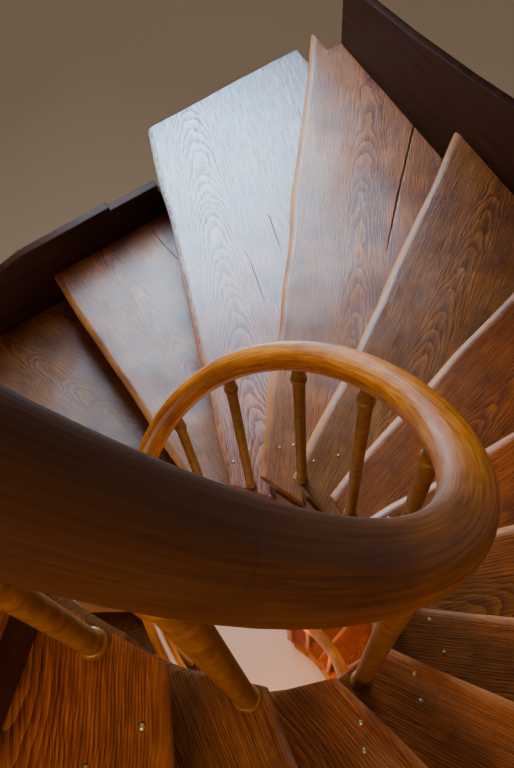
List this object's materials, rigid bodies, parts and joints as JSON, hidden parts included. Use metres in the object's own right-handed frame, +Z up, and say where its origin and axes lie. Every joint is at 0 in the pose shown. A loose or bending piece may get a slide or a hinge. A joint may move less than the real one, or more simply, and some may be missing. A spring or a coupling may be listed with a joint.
{
  "type": "winding staircase",
  "caption": "Wooden winding stair round an oval open well, with a swept handrail, iron balusters, cut inner string and wall strings.",
  "frame": {"origin": "back face of the east wall string, at the bottom step's floor level, 0.3 m from the shaft's north-east corner", "axes": "+Z up, +X out through the east wall, +Y out through the doorway; the stair climbs clockwise seen from above"},
  "size_m": [2.48, 2.91, 6.1694],
  "materials": {
    "tread_wood": "worn varnish",
    "riser_wood": "dark stain",
    "string_wood": "dark varnish",
    "rail_wood": "glossy varnish",
    "baluster_iron": "old gloss paint",
    "wall_string_paint": "dark red-brown paint"
  },
  "bodies": {
    "root": {"tread_01": "tread_wood", "tread_02": "tread_wood", "tread_03": "tread_wood", "tread_04": "tread_wood", "tread_05": "tread_wood", "tread_06": "tread_wood", "tread_07": "tread_wood", "tread_08": "tread_wood", "tread_09": "tread_wood", "tread_10": "tread_wood", "tread_11": "tread_wood", "tread_12": "tread_wood", "tread_13": "tread_wood", "tread_14": "tread_wood", "tread_15": "tread_wood", "tread_16": "tread_wood", "tread_17": "tread_wood", "tread_18": "tread_wood", "tread_19": "tread_wood", "tread_20": "tread_wood", "tread_21": "tread_wood", "tread_22": "tread_wood", "tread_23": "tread_wood", "tread_24": "tread_wood", "tread_25": "tread_wood", "tread_26": "tread_wood", "tread_27": "tread_wood", "tread_28": "tread_wood", "tread_29": "tread_wood", "tread_30": "tread_wood", "tread_31": "tread_wood", "risers_lower": "riser_wood", "risers_upper": "riser_wood", "inner_string_lower": "string_wood", "inner_string_upper": "string_wood", "balusters_lower": "baluster_iron", "balusters_upper": "baluster_iron", "handrail_lower": "rail_wood", "handrail_upper": "rail_wood", "wall_string_east_lower": "wall_string_paint", "wall_string_south_lower": "wall_string_paint", "wall_string_west_lower": "wall_string_paint", "wall_string_north_lower": "wall_string_paint", "wall_string_east_upper": "wall_string_paint", "wall_string_south_upper": "wall_string_paint", "wall_string_west_upper": "wall_string_paint"}
  },
  "joints": []
}
